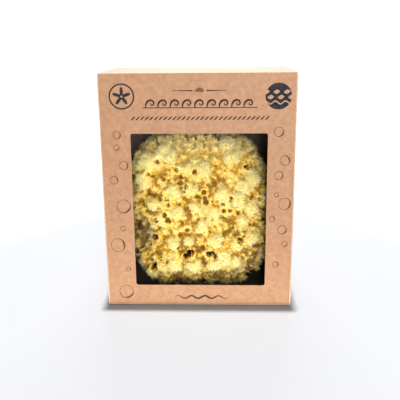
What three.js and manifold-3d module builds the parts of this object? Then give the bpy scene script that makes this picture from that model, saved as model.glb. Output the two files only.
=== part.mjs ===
// A dry bath sponge in its kraft paper carton, seen through a window cut in the front.
// Millimetres, +Z up. The carton stands on the XY plane with its front towards -Y, and the origin is
// the middle of its base. The carton is one creased sheet of board, divided here at its creases.
import * as THREE from "three";
import { mergeVertices } from "three/addons/utils/BufferGeometryUtils.js";
import Module from "manifold-3d";

// Carton: outside sizes and board
const WIDTH = 102;
const DEPTH = 64;
const HEIGHT = 128;
const BOARD = 0.6;
const CLEARANCE = 0.3; // between a flap that folds and the board beside it

// Window in the front panel
const WINDOW_WIDTH = 71.4;
const WINDOW_HEIGHT = 84.8;
const WINDOW_MIDDLE = 0.7; // the cut sits a little right of the panel's middle
const WINDOW_SILL = 12.5;
const WINDOW_CORNER = 1.2;

// Lid: the tuck flap leans in, so that it clears the front panel while it unfolds on its way out
const TUCK_HEIGHT = 14;
const TUCK_INSET = 2.1;
const TUCK_CORNER = 8;
const TUCK_LEAN = THREE.MathUtils.degToRad(12);

// Dust flaps under the lid: the hinge side is cut back at a slant, so that they rise behind the lid
const DUST_LENGTH = 40;
const DUST_BACK_INSET = 2;
const DUST_BACK_SLANT = 0.6; // cut back per millimetre of length
const DUST_FRONT_INSET = 2.5;

// Glued bottom and side seam
const BOTTOM_INNER_DEPTH = 44;
const BOTTOM_FLAP_LENGTH = 42;
const BOTTOM_FLAP_INSET = 1.5;
const GLUE_WIDTH = 13;
const GLUE_INSET = 4;

// Sponge: a rounded block, rounder at its upper right, and the holes that can be seen into
const SPONGE_HALF = new THREE.Vector3(40.8, 29, 47.6);
const SPONGE_MIDDLE = new THREE.Vector3(0, -0.4, 48.1);
const SPONGE_POWER = 3.1; // 2 is an ellipsoid, and more is squarer
const SPONGE_ROUNDER = 0.5; // how much lower the power is at the upper right
const SPONGE_SWELL = 0.008; // height of the slow swells, as a part of the reach
const SPONGE_MERIDIANS = 52;
const SPONGE_PARALLELS = 34;
const REST_GAP = 0.1; // between the sponge's flattened foot and the board under it
const OSCULE_SIDES = 10;
const OSCULE_PLANE = -25; // where the mouths were placed, across the front
const OSCULE_FLARE = 1.3; // outer end against the mouth
const OSCULE_TAPER = 0.7; // inner end against the mouth
const OSCULES = [
  { x: -5.8, z: 27.7, radius: 2.6, depth: 14 },
  { x: 8, z: 28, radius: 2.7, depth: 14 },
  { x: -27.6, z: 18, radius: 2.6, depth: 12 },
  { x: -25.9, z: 37.5, radius: 2.2, depth: 10 },
  { x: 23.4, z: 36.1, radius: 1.9, depth: 12 },
  { x: 27.5, z: 77.7, radius: 1.6, depth: 10 },
];

const kraft = new THREE.MeshStandardMaterial({ color: 0xd9a982, roughness: 0.85, metalness: 0 });
const spongin = new THREE.MeshStandardMaterial({ color: 0xf0cf74, roughness: 0.95, metalness: 0 });

const wasm = await Module();
wasm.setup();

const object = new THREE.Group();

// Adds a flat rectangle of board that fills the box from low to high.
function addBoard(name, low, high) {
  const from = new THREE.Vector3(...low);
  const size = new THREE.Vector3(...high).sub(from);
  const mesh = new THREE.Mesh(new THREE.BoxGeometry(size.x, size.y, size.z), kraft);
  mesh.name = name;
  mesh.position.copy(from).addScaledVector(size, 0.5);
  object.add(mesh);
}

// Traces a rectangle with four rounded corners on a Shape or a Path.
function traceRounded(outline, left, bottom, right, top, radius) {
  outline.moveTo(left + radius, bottom);
  outline.lineTo(right - radius, bottom);
  outline.absarc(right - radius, bottom + radius, radius, -Math.PI / 2, 0, false);
  outline.lineTo(right, top - radius);
  outline.absarc(right - radius, top - radius, radius, 0, Math.PI / 2, false);
  outline.lineTo(left + radius, top);
  outline.absarc(left + radius, top - radius, radius, Math.PI / 2, Math.PI, false);
  outline.lineTo(left, bottom + radius);
  outline.absarc(left + radius, bottom + radius, radius, Math.PI, Math.PI * 1.5, false);
  return outline;
}

// One board's thickness of a flat outline, cut from the sheet.
function cutBoard(shape, curveSegments) {
  return new THREE.ExtrudeGeometry(shape, { depth: BOARD, bevelEnabled: false, curveSegments });
}

// Heights where the layers of board meet
const lidUnderside = HEIGHT - BOARD;
const dustTop = lidUnderside - CLEARANCE;
const sideTop = dustTop - BOARD - CLEARANCE;
const floorTop = 3 * BOARD;

// Planes of the walls
const right = WIDTH / 2;
const back = DEPTH / 2;
const innerRight = right - BOARD;
const innerBack = back - BOARD;

// Front panel: the outline stands up in the XZ plane, so its thickness runs along -Y.
function addFrontPanel() {
  const panel = new THREE.Shape();
  panel.moveTo(-right, 0);
  panel.lineTo(right, 0);
  panel.lineTo(right, HEIGHT);
  panel.lineTo(-right, HEIGHT);
  panel.closePath();
  const window = traceRounded(
    new THREE.Path(),
    WINDOW_MIDDLE - WINDOW_WIDTH / 2,
    WINDOW_SILL,
    WINDOW_MIDDLE + WINDOW_WIDTH / 2,
    WINDOW_SILL + WINDOW_HEIGHT,
    WINDOW_CORNER,
  );
  panel.holes.push(window);
  const mesh = new THREE.Mesh(cutBoard(panel, 4), kraft);
  mesh.name = "front_panel";
  mesh.rotation.x = Math.PI / 2;
  mesh.position.y = -innerBack;
  object.add(mesh);
}

// The other three walls and the glued seam inside the back left edge
function addWalls() {
  addBoard("back_panel", [-right, innerBack, BOARD], [right, back, dustTop]);
  addBoard("left_panel", [-right, -innerBack, BOARD], [-innerRight, innerBack, sideTop]);
  addBoard("right_panel", [innerRight, -innerBack, BOARD], [right, innerBack, sideTop]);
  addBoard(
    "glue_flap",
    [-innerRight, innerBack - BOARD, floorTop + GLUE_INSET],
    [-innerRight + GLUE_WIDTH, innerBack, sideTop - GLUE_INSET],
  );
}

// Bottom: two end flaps, then the flap from the front, then the outer panel from the back, all glued
function addBottom() {
  addBoard("bottom_panel", [-right, -innerBack, 0], [right, back, BOARD]);
  addBoard(
    "bottom_inner_flap",
    [-innerRight, -innerBack, BOARD],
    [innerRight, -innerBack + BOTTOM_INNER_DEPTH, 2 * BOARD],
  );
  const flapBack = innerBack - BOTTOM_FLAP_INSET;
  addBoard(
    "bottom_left_flap",
    [-innerRight, -flapBack, 2 * BOARD],
    [-innerRight + BOTTOM_FLAP_LENGTH, flapBack, floorTop],
  );
  addBoard(
    "bottom_right_flap",
    [innerRight - BOTTOM_FLAP_LENGTH, -flapBack, 2 * BOARD],
    [innerRight, flapBack, floorTop],
  );
}

// Lid: hinged on the crease along the back panel's top edge, with the tuck flap behind the front panel
function addLid() {
  const lidFront = -innerBack + CLEARANCE;
  addBoard("lid_panel", [-right, lidFront, lidUnderside], [right, back, HEIGHT]);

  const halfTuck = right - TUCK_INSET;
  const arcX = halfTuck - TUCK_CORNER;
  const arcY = TUCK_CORNER - TUCK_HEIGHT;
  const outline = new THREE.Shape();
  outline.moveTo(halfTuck, 0);
  outline.lineTo(-halfTuck, 0);
  outline.lineTo(-halfTuck, arcY);
  outline.absarc(-arcX, arcY, TUCK_CORNER, Math.PI, 1.5 * Math.PI, false);
  outline.lineTo(arcX, -TUCK_HEIGHT);
  outline.absarc(arcX, arcY, TUCK_CORNER, -Math.PI / 2, 0, false);
  outline.closePath();
  const mesh = new THREE.Mesh(cutBoard(outline, 6).translate(0, 0, -BOARD), kraft);
  mesh.name = "tuck_flap";
  mesh.rotation.x = Math.PI / 2 + TUCK_LEAN;
  mesh.position.set(0, lidFront, lidUnderside - CLEARANCE);
  object.add(mesh);
}

// Dust flap on one side, folded in under the lid: side is -1 for the left and 1 for the right.
function addDustFlap(name, side) {
  const crease = side * right;
  const end = side * (right - DUST_LENGTH);
  const flapFront = -innerBack + DUST_FRONT_INSET;
  const flapBack = innerBack - DUST_BACK_INSET;
  const outline = new THREE.Shape();
  outline.moveTo(crease, flapFront);
  outline.lineTo(end, flapFront);
  outline.lineTo(end, flapBack - DUST_BACK_SLANT * DUST_LENGTH);
  outline.lineTo(crease, flapBack);
  outline.closePath();
  const mesh = new THREE.Mesh(cutBoard(outline, 1), kraft);
  mesh.name = name;
  mesh.position.z = dustTop - BOARD;
  object.add(mesh);
}

// How far the sponge's outer surface lies from its middle, along a unit direction.
function spongeReach(d) {
  const power = SPONGE_POWER - SPONGE_ROUNDER * d.x * Math.max(d.z, 0);
  const sum =
    Math.abs(d.x / SPONGE_HALF.x) ** power +
    Math.abs(d.y / SPONGE_HALF.y) ** power +
    Math.abs(d.z / SPONGE_HALF.z) ** power;
  const swell =
    Math.sin(3.1 * d.x + 2.3 * d.z + 0.4) +
    Math.sin(4.4 * d.z - 3.2 * d.y + 1.9) +
    Math.sin(5.3 * d.x + 4.1 * d.y - 2.6 * d.z + 3);
  return sum ** (-1 / power) * (1 + SPONGE_SWELL * swell);
}

// A closed geometry as a solid for cutting.
function solidOf(geometry) {
  geometry.deleteAttribute("normal");
  geometry.deleteAttribute("uv");
  const merged = mergeVertices(geometry);
  return new wasm.Manifold(
    new wasm.Mesh({
      numProp: 3,
      vertProperties: new Float32Array(merged.attributes.position.array),
      triVerts: new Uint32Array(merged.index.array),
    }),
  );
}

// A solid's faces as a geometry.
function geometryOf(solid) {
  const mesh = solid.getMesh();
  const geometry = new THREE.BufferGeometry();
  geometry.setAttribute("position", new THREE.BufferAttribute(mesh.vertProperties, 3));
  geometry.setIndex(new THREE.BufferAttribute(mesh.triVerts, 1));
  geometry.computeVertexNormals();
  return geometry;
}

// The point of the sponge's surface that lies from its middle along a direction.
function spongePoint(direction) {
  const d = direction.clone().normalize();
  return d.multiplyScalar(spongeReach(d)).add(SPONGE_MIDDLE);
}

// A tapered hole into the sponge, running from its mouth halfway towards the sponge's middle.
function osculeSolid({ x, z, radius, depth }) {
  const mouth = spongePoint(new THREE.Vector3(x, OSCULE_PLANE, z).sub(SPONGE_MIDDLE));
  const inner = mouth.clone().lerp(SPONGE_MIDDLE, 0.5).setY(SPONGE_MIDDLE.y);
  const outward = mouth.clone().sub(inner).normalize();
  const turn = new THREE.Quaternion().setFromUnitVectors(new THREE.Vector3(0, 1, 0), outward);
  const hole = new THREE.CylinderGeometry(
    radius * OSCULE_FLARE,
    radius * OSCULE_TAPER,
    2 * depth,
    OSCULE_SIDES,
  );
  return solidOf(hole.applyQuaternion(turn).translate(mouth.x, mouth.y, mouth.z));
}

// Sponge: one grown piece, flat where it sits on the bottom flaps, with its widest holes
function addSponge() {
  const skin = new THREE.SphereGeometry(1, SPONGE_MERIDIANS, SPONGE_PARALLELS).rotateX(Math.PI / 2);
  const points = skin.attributes.position;
  const point = new THREE.Vector3();
  for (let i = 0; i < points.count; i++) {
    point.copy(spongePoint(point.fromBufferAttribute(points, i)));
    points.setXYZ(i, point.x, point.y, Math.max(point.z, floorTop + REST_GAP));
  }
  const sponge = OSCULES.reduce((solid, oscule) => solid.subtract(osculeSolid(oscule)), solidOf(skin));
  const mesh = new THREE.Mesh(geometryOf(sponge), spongin);
  mesh.name = "sponge";
  object.add(mesh);
}

addFrontPanel();
addWalls();
addBottom();
addLid();
addDustFlap("left_dust_flap", -1);
addDustFlap("right_dust_flap", 1);
addSponge();

export default object;
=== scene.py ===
import bpy
import numpy as np
from mathutils import Matrix, Vector


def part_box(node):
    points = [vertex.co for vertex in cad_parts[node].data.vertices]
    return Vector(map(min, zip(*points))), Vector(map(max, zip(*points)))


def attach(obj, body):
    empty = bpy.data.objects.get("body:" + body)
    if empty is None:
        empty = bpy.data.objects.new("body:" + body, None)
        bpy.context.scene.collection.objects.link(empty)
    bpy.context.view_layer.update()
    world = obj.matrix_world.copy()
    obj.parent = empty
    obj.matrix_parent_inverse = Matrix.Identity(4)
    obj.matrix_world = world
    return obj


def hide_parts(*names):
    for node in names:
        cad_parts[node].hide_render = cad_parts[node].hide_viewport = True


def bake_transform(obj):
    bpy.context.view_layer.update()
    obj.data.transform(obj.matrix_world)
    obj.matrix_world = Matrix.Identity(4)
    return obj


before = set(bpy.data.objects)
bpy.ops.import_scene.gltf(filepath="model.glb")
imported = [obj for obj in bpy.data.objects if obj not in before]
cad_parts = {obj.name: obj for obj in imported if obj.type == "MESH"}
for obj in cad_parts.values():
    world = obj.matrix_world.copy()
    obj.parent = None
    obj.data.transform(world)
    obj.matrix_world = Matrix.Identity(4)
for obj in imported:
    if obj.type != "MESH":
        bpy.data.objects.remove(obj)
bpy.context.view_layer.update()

# Carton sleeve: front, sides, back and glue flap are one strip of brown kraft board, die-cut with the
# window, creased upright, folded round, and glued inside the back panel's left edge. Its lower creases
# turn inwards. Sizes are in millimetres.
MM = 0.001
BOARD = 0.6
CREASE = 0.9  # outer radius of a fold
WINDOW_WIDTH, WINDOW_HEIGHT = 71.4, 84.8
WINDOW_MIDDLE, WINDOW_SILL = 0.7, 12.5
WINDOW_CORNER = 1.2
FRONT_BOW, WALL_BOW = 0.25, 0.5  # how far a panel's middle stands proud
SEAM_GAP = 0.05  # between the glue flap and the back panel
CUT_EDGE = 0.1  # rounding of a die-cut edge
SHARP_EDGE = np.radians(50)  # a cut edge turns by more, a fold's steps by less
FOOT_LIFT = 0.4  # the bottom bellies, so its creases stand just off the floor


def node_box(name):
    """Lowest and highest corner of a CAD node, in millimetres."""
    return [np.array(corner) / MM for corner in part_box(name)]


front_low, front_high = node_box("front_panel")
back_high = node_box("back_panel")[1]
glue_low, glue_high = node_box("glue_flap")
HALF_WIDTH, CARTON_HEIGHT = front_high[0], front_high[2]
FRONT, BACK, BACK_TOP = front_low[1], back_high[1], back_high[2]
SIDE_TOP = node_box("left_panel")[1][2]
window_left = WINDOW_MIDDLE - WINDOW_WIDTH / 2
window_right = WINDOW_MIDDLE + WINDOW_WIDTH / 2
window_head = WINDOW_SILL + WINDOW_HEIGHT


def colour(code):
    """A colour given as sRGB hex, as the linear red, green, blue and alpha that a shader reads."""
    srgb = np.array([int(code[k:k + 2], 16) for k in (1, 3, 5)]) / 255
    linear = np.where(srgb <= 0.04045, srgb / 12.92, ((srgb + 0.055) / 1.055) ** 2.4)
    return (*linear.tolist(), 1.0)


def feed(tree, node, inputs):
    """Gives sockets, each named or numbered, a value or the output that feeds them."""
    for name, value in inputs.items():
        if isinstance(value, bpy.types.NodeSocket):
            tree.links.new(value, node.inputs[name])
        else:
            node.inputs[name].default_value = value


def add_node(tree, kind, inputs=None, stops=(), output=0, **settings):
    """Adds one shader node, feeds its inputs, and gives back one of its outputs. Stops are the places and
    colours of a ramp."""
    new = tree.nodes.new("ShaderNode" + kind)
    for name, value in settings.items():
        setattr(new, name, value)
    for stop in stops[2:]:
        new.color_ramp.elements.new(stop[0])
    for element, (place, code) in zip(new.color_ramp.elements if stops else (), stops):
        element.position = place
        element.color = colour(code)
    feed(tree, new, inputs or {})
    return new.outputs[output]


def new_material(name):
    """A new material, with its node tree, its principled shader and its Object coordinates."""
    material = bpy.data.materials.new(name)
    material.use_nodes = True
    tree = material.node_tree
    return material, tree, tree.nodes["Principled BSDF"], add_node(tree, "TexCoord", output="Object")


def make_piece(name, points, faces, materials, **values):
    """A smooth mesh object from points in millimetres and faces as rows of point numbers, with an attribute
    of one number per point for each named value."""
    mesh = bpy.data.meshes.new(name)
    mesh.from_pydata((points.reshape(-1, 3) * MM).tolist(), [], faces)
    mesh.polygons.foreach_set("use_smooth", np.ones(len(mesh.polygons), bool))
    for key, value in values.items():
        attribute = mesh.attributes.new(key, "FLOAT", "POINT")
        spread = np.broadcast_to(value, points.shape[:-1])
        attribute.data.foreach_set("value", spread.astype(np.float32).ravel())
    for material in materials:
        mesh.materials.append(material)
    piece = bpy.data.objects.new(name, mesh)
    bpy.context.scene.collection.objects.link(piece)
    return piece


def grid_faces(rows, columns, ring=False):
    """Four-sided faces between neighbours on a grid of points that runs row by row. A ring also joins each
    row's last point to its first."""
    index = np.arange(rows * columns).reshape(rows, columns)
    if ring:
        index = np.concatenate([index, index[:, :1]], axis=1)
    corners = [index[:-1, :-1], index[:-1, 1:], index[1:, 1:], index[1:, :-1]]
    return np.stack(corners, axis=-1).reshape(-1, 4)


# Uncoated brown kraft board: long unbleached fibres, pressed and calendered. It gives the eye a matt tan
# with cloudy tone, faint streaks along the grain, a few dark shives, and pale fibres on the folds, partly
# worn and partly a painted highlight along the creases.
KRAFT_CLOUD, KRAFT_STREAK, KRAFT_GRAIN = 2.4, 0.7, 2.0  # the streaks are drawn coarser than real fibres
KRAFT_SHIVE = 2.2
STREAK_SHARE = 0.4  # of the board's tone, the rest being clouds
# The folds are paled partly by wear and partly as a painted highlight along the creases.
FOLD_WEAR_AND_HIGHLIGHT = 1.4  # how strongly a fold is rubbed where a streak lies


def kraft_material(name, dark, middle, light, shive_colour, wear_and_highlight_colour):
    """Kraft board whose tone runs from dark to light with clouds and streaks, flecked with shives."""
    material, tree, shader, place = new_material(name)
    cloud = add_node(tree, "TexNoise", {"Vector": place, "Scale": 1 / (KRAFT_CLOUD * MM), "Detail": 3.0})
    along = add_node(tree, "Mapping", {
        "Vector": place,
        "Scale": (1 / (KRAFT_GRAIN * MM), 1 / (KRAFT_GRAIN * MM), 1 / (KRAFT_STREAK * MM)),
    })
    streak = add_node(tree, "TexNoise", {"Vector": along, "Scale": 1.0, "Detail": 3.0})
    tone = add_node(tree, "Mix", {0: STREAK_SHARE, 2: cloud, 3: streak})
    board_tone = add_node(tree, "ValToRGB", {0: tone}, [(0.36, dark), (0.5, middle), (0.64, light)])
    shive = add_node(tree, "TexVoronoi", {"Vector": place, "Scale": 1 / (KRAFT_SHIVE * MM)})
    shive_mask = add_node(tree, "MapRange", {
        "Value": shive, "From Min": 0.04, "From Max": 0.16, "To Min": 0.5, "To Max": 0.0,
    })
    flecked = add_node(tree, "Mix", {0: shive_mask, 6: board_tone, 7: colour(shive_colour)},
                       output=2, data_type="RGBA")
    # Painted highlight: the folds are paled, partly as real wear and partly as a painted highlight on the
    # creases.
    fold = add_node(tree, "Attribute", output="Fac", attribute_name="fold")
    streaked_wear_and_highlight = add_node(tree, "Math", {0: streak, 1: FOLD_WEAR_AND_HIGHLIGHT}, operation="MULTIPLY")
    wear_and_highlight = add_node(tree, "Math", {0: fold, 1: streaked_wear_and_highlight}, operation="MULTIPLY", use_clamp=True)
    board_colour = add_node(tree, "Mix", {0: wear_and_highlight, 6: flecked, 7: colour(wear_and_highlight_colour)},
                            output=2, data_type="RGBA")
    tooth = add_node(tree, "Bump", {"Height": streak, "Strength": 0.15, "Distance": 0.1 * MM})
    feed(tree, shader, {
        "Base Color": board_colour, "Roughness": 0.55, "Specular IOR Level": 0.5, "Normal": tooth,
    })
    return material


kraft = kraft_material("uncoated_kraft_board", "#936643", "#9b6f4a", "#a47853", "#714d31", "#dcc3a6")
# Inner face: a greyer brown board back, darkened further as painted shade so that the carton's inside looks
# dark.
kraft_back_with_painted_shade = kraft_material("kraft_board_back_with_painted_shade", "#5f5145", "#6b5c4f", "#776759", "#4a3d33", "#8a7a6a")

# Die-cut board edge: torn fibre ends with no print. It gives the eye a paler, rougher line round the
# window and along the flaps.
FIBRE_END = 0.8  # drawn coarser than a real fibre
cut_board, tree, shader, place = new_material("cut_kraft_edge")
fibre_end = add_node(tree, "TexNoise", {"Vector": place, "Scale": 1 / (FIBRE_END * MM), "Detail": 2.0})
edge_tone = add_node(tree, "ValToRGB", {0: fibre_end}, [(0.3, "#c8a484"), (0.7, "#e2c6a6")])
feed(tree, shader, {"Base Color": edge_tone, "Roughness": 0.95})
board_finish = [kraft, cut_board, kraft_back_with_painted_shade]


def board_sheet(name, x, y, z, fold, opening=None):
    """A sheet of board over a grid of places, less the faces of an opening. It is as thick as the board,
    inwards from its outer face, with rounded cut edges. The cut faces take the second material slot, and
    the inner face takes the third."""
    points = np.stack(np.broadcast_arrays(x, y, z), axis=-1)
    faces = grid_faces(*points.shape[:2])
    faces = faces if opening is None else faces[~opening]
    piece = make_piece(name, points, faces, board_finish, fold=fold)
    solid = piece.modifiers.new("board", "SOLIDIFY")
    solid.thickness = BOARD * MM
    solid.offset = -1
    solid.use_even_offset = True
    solid.material_offset_rim = 1
    solid.material_offset = 2
    edge = piece.modifiers.new("cut_edge", "BEVEL")
    edge.width = CUT_EDGE * MM
    edge.segments = 2
    edge.limit_method = "ANGLE"
    edge.angle_limit = SHARP_EDGE
    edge.harden_normals = True
    return piece


def straight_columns(start, end, places, top, bow, foot=0, curl=1):
    """Columns along one flat panel: a place from 0 to 1 lies that far from start to end, and the bow is a
    parabola over the panel. Each row is x, y, outward x, outward y, fold, bow, top, foot and curl."""
    start, end = np.array(start), np.array(end)
    heading = (end - start) / np.linalg.norm(end - start)
    spots = start + places[:, None] * (end - start)
    rest = np.ones((len(places), 1))
    bows = 4 * bow * places * (1 - places)
    outward = [heading[1], -heading[0]]
    return np.hstack([spots, rest * outward, 0 * rest, bows[:, None], rest * [top, foot, curl]])


def fold_columns(before, after, steps=7):
    """Columns round the crease between two panels: a quarter circle from the outward direction of the one
    to that of the other, with the other values passing evenly across."""
    turn = np.linspace(0, np.pi / 2, steps)[1:-1, None]
    first, last = before[-1], after[0]
    outward = first[2:4] * np.cos(turn) + last[2:4] * np.sin(turn)
    centre = first[:2] - CREASE * first[2:4]
    share = turn / (np.pi / 2)
    ends = first[6:] * (1 - share) + last[6:] * share
    # How far the crease is paled, by wear and as a painted highlight.
    wear_and_highlight_line = np.sin(2 * turn)
    return np.hstack([centre + CREASE * outward, outward, wear_and_highlight_line, 0 * turn, ends])


def grid_lines(breaks, counts):
    """Places along a line, with a count of places from each break to the next."""
    runs = [np.linspace(low, high, count)[1:] for low, high, count in zip(breaks, breaks[1:], counts)]
    return np.concatenate([breaks[:1], *runs])


EDGE_STEPS, CORNER_STEPS, WALL_STEPS = 12, 6, 22
WINDOW_COLUMNS, WINDOW_ROWS = 36, 44
seam_y = BACK - BOARD - SEAM_GAP
front_x = grid_lines(
    [CREASE - HALF_WIDTH, window_left, window_left + WINDOW_CORNER,
     window_right - WINDOW_CORNER, window_right, HALF_WIDTH - CREASE],
    [EDGE_STEPS, CORNER_STEPS, WINDOW_COLUMNS, CORNER_STEPS, EDGE_STEPS])
front_places = (front_x - front_x[0]) / (front_x[-1] - front_x[0])
wall_places = np.linspace(0, 1, WALL_STEPS)
panels = [
    straight_columns((glue_high[0], seam_y), (CREASE - HALF_WIDTH, seam_y), wall_places[::3],
                     glue_high[2], 0, foot=glue_low[2], curl=0),
    straight_columns((-HALF_WIDTH, seam_y - CREASE), (-HALF_WIDTH, FRONT + CREASE), wall_places,
                     SIDE_TOP, WALL_BOW),
    straight_columns((CREASE - HALF_WIDTH, FRONT), (HALF_WIDTH - CREASE, FRONT), front_places,
                     CARTON_HEIGHT, FRONT_BOW),
    straight_columns((HALF_WIDTH, FRONT + CREASE), (HALF_WIDTH, BACK - CREASE), wall_places,
                     SIDE_TOP, WALL_BOW),
    straight_columns((HALF_WIDTH - CREASE, BACK), (-HALF_WIDTH, BACK), wall_places, BACK_TOP, WALL_BOW),
]
strip = [panels[0]]
for panel in panels[1:]:
    strip += [fold_columns(strip[-1], panel), panel]
front_from = sum(len(part) for part in strip[:4])  # after the glue flap, the left panel and their folds
strip = np.vstack(strip)

# Rows of the sleeve: the inward curl at the foot, heights that keep to the window's lines, and a last
# stretch that reaches each panel's own top.
LEVEL_TOP = 118.0
FOOT_STEPS, REACH_STEPS = 8, 6
curl_angle = np.linspace(0, np.pi / 2, CORNER_STEPS)[:-1]
levels = np.append(FOOT_LIFT + CREASE * (1 - np.cos(curl_angle)), grid_lines(
    [FOOT_LIFT + CREASE, WINDOW_SILL, WINDOW_SILL + WINDOW_CORNER,
     window_head - WINDOW_CORNER, window_head, LEVEL_TOP],
    [FOOT_STEPS, CORNER_STEPS, WINDOW_ROWS, CORNER_STEPS, EDGE_STEPS]))
insets = np.append(CREASE * (1 - np.sin(curl_angle)), np.zeros(len(levels) - len(curl_angle)))
reach = np.linspace(0, 1, REACH_STEPS)[1:]


def front_bow(x, z):
    """How far the front panel stands proud of its creases: a parabola across and a half wave up."""
    span = (x - front_x[0]) / (front_x[-1] - front_x[0])
    return 4 * FRONT_BOW * span * (1 - span) * np.sin(np.pi * z / CARTON_HEIGHT)


x, y, out_x, out_y, fold_line, bow, top, foot, curl = strip.T
low_z = foot + levels[:, None] * (1 - foot / LEVEL_TOP)
high_z = LEVEL_TOP + reach[:, None] * (top - LEVEL_TOP)
z = np.vstack([low_z, high_z])
inset = np.vstack([insets[:, None] * curl, 0 * high_z])
proud = bow * np.sin(np.pi * z / CARTON_HEIGHT) - inset
wall_x, wall_y = x + out_x * proud, y + out_y * proud

# The window's corner points are pulled from the square of grid lines onto an arc.
NEARLY = 1e-6  # places closer than this are one place
window_level = z - WINDOW_SILL - WINDOW_HEIGHT / 2
corner_x = np.abs(wall_x - WINDOW_MIDDLE) - (WINDOW_WIDTH / 2 - WINDOW_CORNER)
corner_z = np.abs(window_level) - (WINDOW_HEIGHT / 2 - WINDOW_CORNER)
column = np.arange(len(strip))
on_front = (column >= front_from) & (column < front_from + len(front_x))
on_corner = on_front & (np.minimum(corner_x, corner_z) > -NEARLY)
on_corner &= np.abs(np.maximum(corner_x, corner_z) - WINDOW_CORNER) < NEARLY
arc = np.pi / 4 * (1 + (corner_z - corner_x) / WINDOW_CORNER)
arc_x = np.sign(wall_x - WINDOW_MIDDLE) * (WINDOW_CORNER * np.cos(arc) - corner_x)
arc_z = np.sign(window_level) * (WINDOW_CORNER * np.sin(arc) - corner_z)
face_x = np.where(on_front, x, -HALF_WIDTH)
face_middle = (face_x[1:] + face_x[:-1]) / 2
face_level = (z[1:, 1:] + z[:-1, :-1]) / 2
in_window = (face_middle > window_left) & (face_middle < window_right)
in_window = (in_window & (face_level > WINDOW_SILL) & (face_level < window_head)).ravel()
foot_fold = np.append(np.sin(2 * curl_angle), np.zeros(len(z) - len(curl_angle)))[:, None] * curl
sleeve = board_sheet("carton_sleeve", wall_x + on_corner * arc_x, wall_y, z + on_corner * arc_z,
                     fold=np.maximum(fold_line, foot_fold), opening=in_window)
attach(sleeve, "carton")
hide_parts("front_panel", "left_panel", "right_panel", "back_panel", "glue_flap")

# Bottom: an outer flap inside the sleeve's lower creases and three inner flaps glued over it, all of the
# same board. The glued stack bellies down, so only its middle stands on the floor.
BELLY_RISE = 8.0  # how far from a wall the bottom starts to rise


def ease_between(low, high, value):
    """0 below low, 1 above high, and a smooth S between them."""
    share = np.clip((value - low) / (high - low), 0, 1)
    return share * share * (3 - 2 * share)


def bottom_board(name, node, low, high):
    """A flat sheet between two corners, face down, that rises in an S towards the nearest wall."""
    sheet_x = np.linspace(high[0], low[0], 61)
    sheet_y = np.linspace(low[1], high[1], 41)[:, None]
    wall_gap = np.minimum(HALF_WIDTH - np.abs(sheet_x), BACK - np.abs(sheet_y))
    sheet_z = low[2] + FOOT_LIFT * (1 - ease_between(CREASE, BELLY_RISE, wall_gap))
    sheet = board_sheet(name, sheet_x, sheet_y, sheet_z, fold=0.0)
    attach(sheet, "carton")
    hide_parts(node)


plate_low = (CREASE - HALF_WIDTH, FRONT + CREASE, 0)
plate_high = (HALF_WIDTH - CREASE, BACK - CREASE, BOARD)
bottom_board("bottom_plate", "bottom_panel", plate_low, plate_high)
for flap_node in ("bottom_inner_flap", "bottom_left_flap", "bottom_right_flap"):
    bottom_board(flap_node.replace("_flap", "_board"), flap_node, *node_box(flap_node))

# Print: flat black and brown inks, laid down on the front panel before it is cut. Sea ornaments take the
# places along the head and the foot, and rising bubbles run up beside the window.
INK = 0.03  # thickness of the ink, drawn heavier than real so that it stands clear of the board
INK_SINK = 0.01
INK_MOTTLE = 0.7


def print_piece(name, bands, material):
    """One piece of ink from bands. A band is an array of rows of x and z: each row is a line, neighbouring
    rows are joined, and a row that ends where it starts closes on itself. All lie on the bowed front."""
    points, faces = [], []
    for band in bands:
        ring = np.allclose(band[:, 0], band[:, -1])
        band = band[:, :-1] if ring else band
        quads = grid_faces(*band.shape[:2], ring)
        corner = band.reshape(-1, 2)[quads]
        first, second = corner[:, 2] - corner[:, 0], corner[:, 3] - corner[:, 1]
        turned = first[:, 0] * second[:, 1] < first[:, 1] * second[:, 0]
        quads[turned] = quads[turned, ::-1]
        faces.append(quads + sum(len(part) for part in points))
        points.append(band.reshape(-1, 2))
    flat_x, flat_z = np.vstack(points).T
    depth = FRONT - front_bow(flat_x, flat_z) + INK_SINK
    piece = make_piece(name, np.stack([flat_x, depth, flat_z], axis=-1), np.vstack(faces), [material])
    solid = piece.modifiers.new("ink", "SOLIDIFY")
    solid.thickness = (INK + INK_SINK) * MM
    solid.offset = 1
    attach(piece, "carton")


def stroke(line_x, line_z, half_width):
    """A pen stroke: the line moved by half its width to either side, at right angles to its course."""
    course = np.stack([np.gradient(line_x), np.gradient(line_z)])
    course /= np.linalg.norm(course, axis=0)
    line = np.stack([line_x, line_z])
    side = np.stack([-course[1], course[0]]) * half_width
    return np.stack([(line + side).T, line.T, (line - side).T])


def ring_band(middle, angle, inner, outer):
    """A ring round a middle, from an inner to an outer radius, each one number or one for every angle."""
    heading = np.stack([np.cos(angle), np.sin(angle)], axis=-1)
    radii = np.stack([np.broadcast_to(radius, angle.shape) for radius in (inner, outer)])
    return np.array(middle) + radii[..., None] * heading


def ink_material(name, code, thin_code):
    """Flexographic ink on kraft: it sinks into the fibres and gives the eye a matt, slightly mottled dark
    in which the board glints through."""
    material, tree, shader, place = new_material(name)
    mottle = add_node(tree, "TexNoise", {"Vector": place, "Scale": 1 / (INK_MOTTLE * MM), "Detail": 3.0})
    ink_tone = add_node(tree, "ValToRGB", {0: mottle}, [(0.45, code), (0.75, thin_code)])
    feed(tree, shader, {"Base Color": ink_tone, "Roughness": 0.75, "Specular IOR Level": 0.2})
    return material


black_ink = ink_material("black_ink_on_kraft", "#1d2027", "#3b3634")
dark_brown_ink = ink_material("dark_brown_ink_on_kraft", "#2e2019", "#4d3a2e")
brown_ink = ink_material("brown_ink_on_kraft", "#4a3324", "#6e4f39")

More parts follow.
